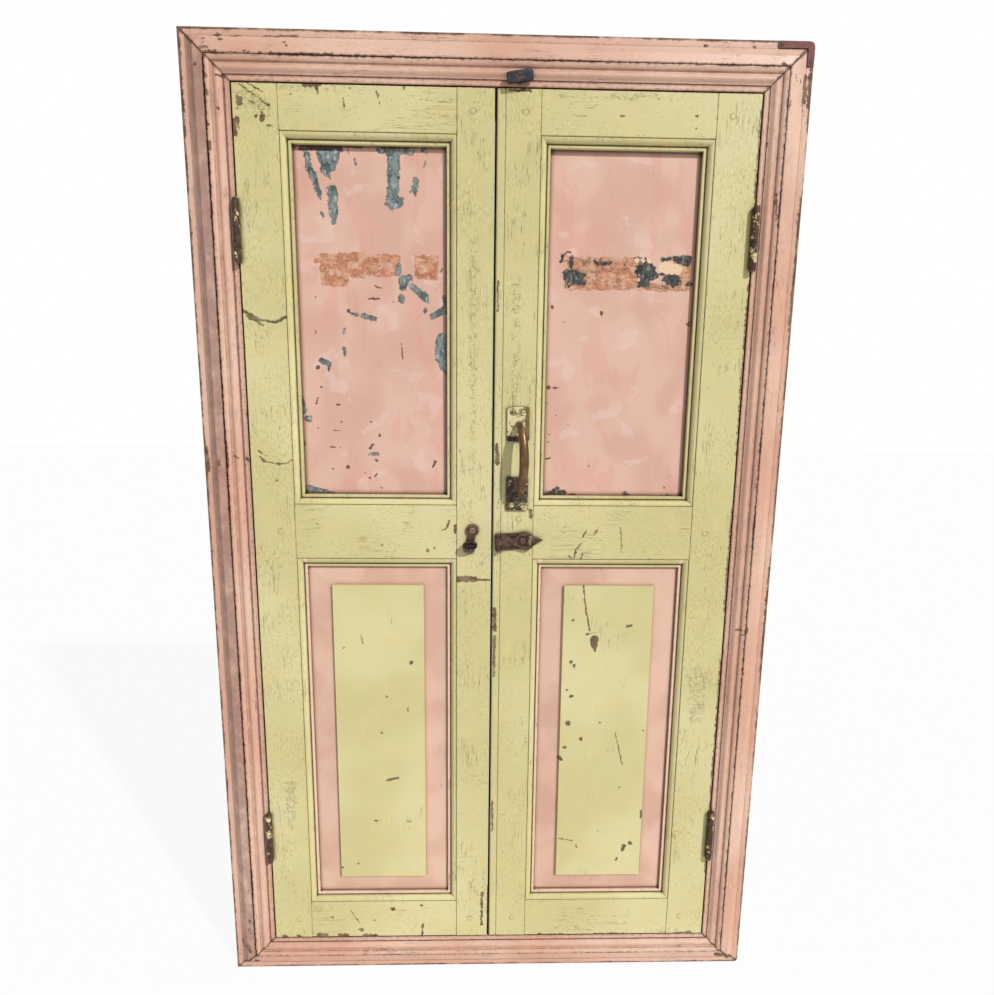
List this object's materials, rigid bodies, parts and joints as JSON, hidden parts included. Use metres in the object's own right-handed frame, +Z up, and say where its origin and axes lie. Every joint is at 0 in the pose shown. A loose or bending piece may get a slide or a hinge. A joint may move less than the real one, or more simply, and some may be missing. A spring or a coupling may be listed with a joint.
{
  "type": "shutter mirror",
  "caption": "Wall mirror in a moulded, mitred frame, closed by a pair of panelled shutter doors on butt hinges, with a pull handle, hasp, twist knob and turn button.",
  "frame": {"origin": "on the wall plane, midway between the two hanging holes", "axes": "+X to the right as seen from the room, +Z up, the front faces -Y"},
  "size_m": [0.64, 0.0929, 1.08],
  "materials": {
    "frame_paint": "aged pink paint over wood, grimy in the hollows and worn at the edges",
    "door_paint": "aged yellow-green paint over wood, chipped and crackled",
    "sheet_metal": "pink paint with green traces over bare blue-grey sheet, rust along one band",
    "bare_wood": "plain unpainted board",
    "mirror": "silvered glass",
    "hinge_steel": "steel with old paint and grime",
    "plain_steel": "dull steel",
    "red_iron": "dark red painted strip, scuffed",
    "black_iron": "satin black",
    "brown_iron": "dark brown patina with paint traces",
    "bronzed_iron": "worn bronze-brown grip on dark plates with paint traces"
  },
  "bodies": {
    "frame": {"jamb_left": "frame_paint", "jamb_right": "frame_paint", "frame_head": "frame_paint", "frame_sill": "frame_paint", "corner_tongues": "bare_wood", "outer_moulding_left": "frame_paint", "outer_moulding_right": "frame_paint", "outer_moulding_top": "frame_paint", "outer_moulding_bottom": "frame_paint", "mirror_glass": "mirror", "backing_board": "bare_wood", "backing_screws": "plain_steel", "hanger_plates": "plain_steel", "hanger_screws": "plain_steel", "corner_brace": "red_iron", "corner_brace_nails": "red_iron", "button_screw": "black_iron", "upper_left_frame_leaf": "hinge_steel", "lower_left_frame_leaf": "hinge_steel", "upper_right_frame_leaf": "hinge_steel", "lower_right_frame_leaf": "hinge_steel", "hinge_pins": "hinge_steel", "frame_hinge_screws": "hinge_steel"},
    "left_door": {"left_hinge_stile": "door_paint", "left_meeting_stile": "door_paint", "left_top_rail": "door_paint", "left_lock_rail": "door_paint", "left_bottom_rail": "door_paint", "left_tin_panel": "sheet_metal", "left_wood_panel": "door_paint", "left_upper_moulding": "door_paint", "left_lower_moulding": "door_paint", "left_pegs": "door_paint", "upper_left_door_leaf": "hinge_steel", "lower_left_door_leaf": "hinge_steel", "left_hinge_screws": "hinge_steel", "staple_plate": "brown_iron", "staple_screws": "brown_iron"},
    "right_door": {"right_hinge_stile": "door_paint", "right_meeting_stile": "door_paint", "right_top_rail": "door_paint", "right_lock_rail": "door_paint", "right_bottom_rail": "door_paint", "right_tin_panel": "sheet_metal", "right_wood_panel": "door_paint", "right_upper_moulding": "door_paint", "right_lower_moulding": "door_paint", "right_pegs": "door_paint", "right_meeting_bead": "door_paint", "upper_right_door_leaf": "hinge_steel", "lower_right_door_leaf": "hinge_steel", "right_hinge_screws": "hinge_steel", "pull_handle": "bronzed_iron", "handle_screws": "bronzed_iron", "hasp_leaf": "brown_iron", "hasp_screws": "brown_iron", "hasp_pin": "brown_iron"},
    "hasp": {"hasp_strap": "brown_iron"},
    "knob": {"twist_knob": "brown_iron"},
    "button": {"turn_button": "black_iron"}
  },
  "joints": [
    {"name": "left_door_hinge", "type": "hinge", "parent": "frame", "child": "left_door", "pos_m": [-0.26625, -0.0699, -0.45], "axis": [0, 0, -1], "range_deg": [0, 180]},
    {"name": "right_door_hinge", "type": "hinge", "parent": "frame", "child": "right_door", "pos_m": [0.26625, -0.0699, -0.45], "axis": [0, 0, 1], "range_deg": [0, 180]},
    {"name": "hasp_hinge", "type": "hinge", "parent": "right_door", "child": "hasp", "pos_m": [0.0035, -0.0694, -0.43], "axis": [0.0698, 0, -0.9976], "range_deg": [0, 180]},
    {"name": "twist_knob_turn", "type": "hinge", "parent": "left_door", "child": "knob", "pos_m": [-0.02742, -0.0738, -0.43216], "axis": [0, -1, 0], "range_deg": [0, 90]},
    {"name": "turn_button_pivot", "type": "hinge", "parent": "frame", "child": "button", "pos_m": [0.02, -0.0719, 0.0446], "axis": [0, -1, 0], "range_deg": [-98, 82]}
  ]
}
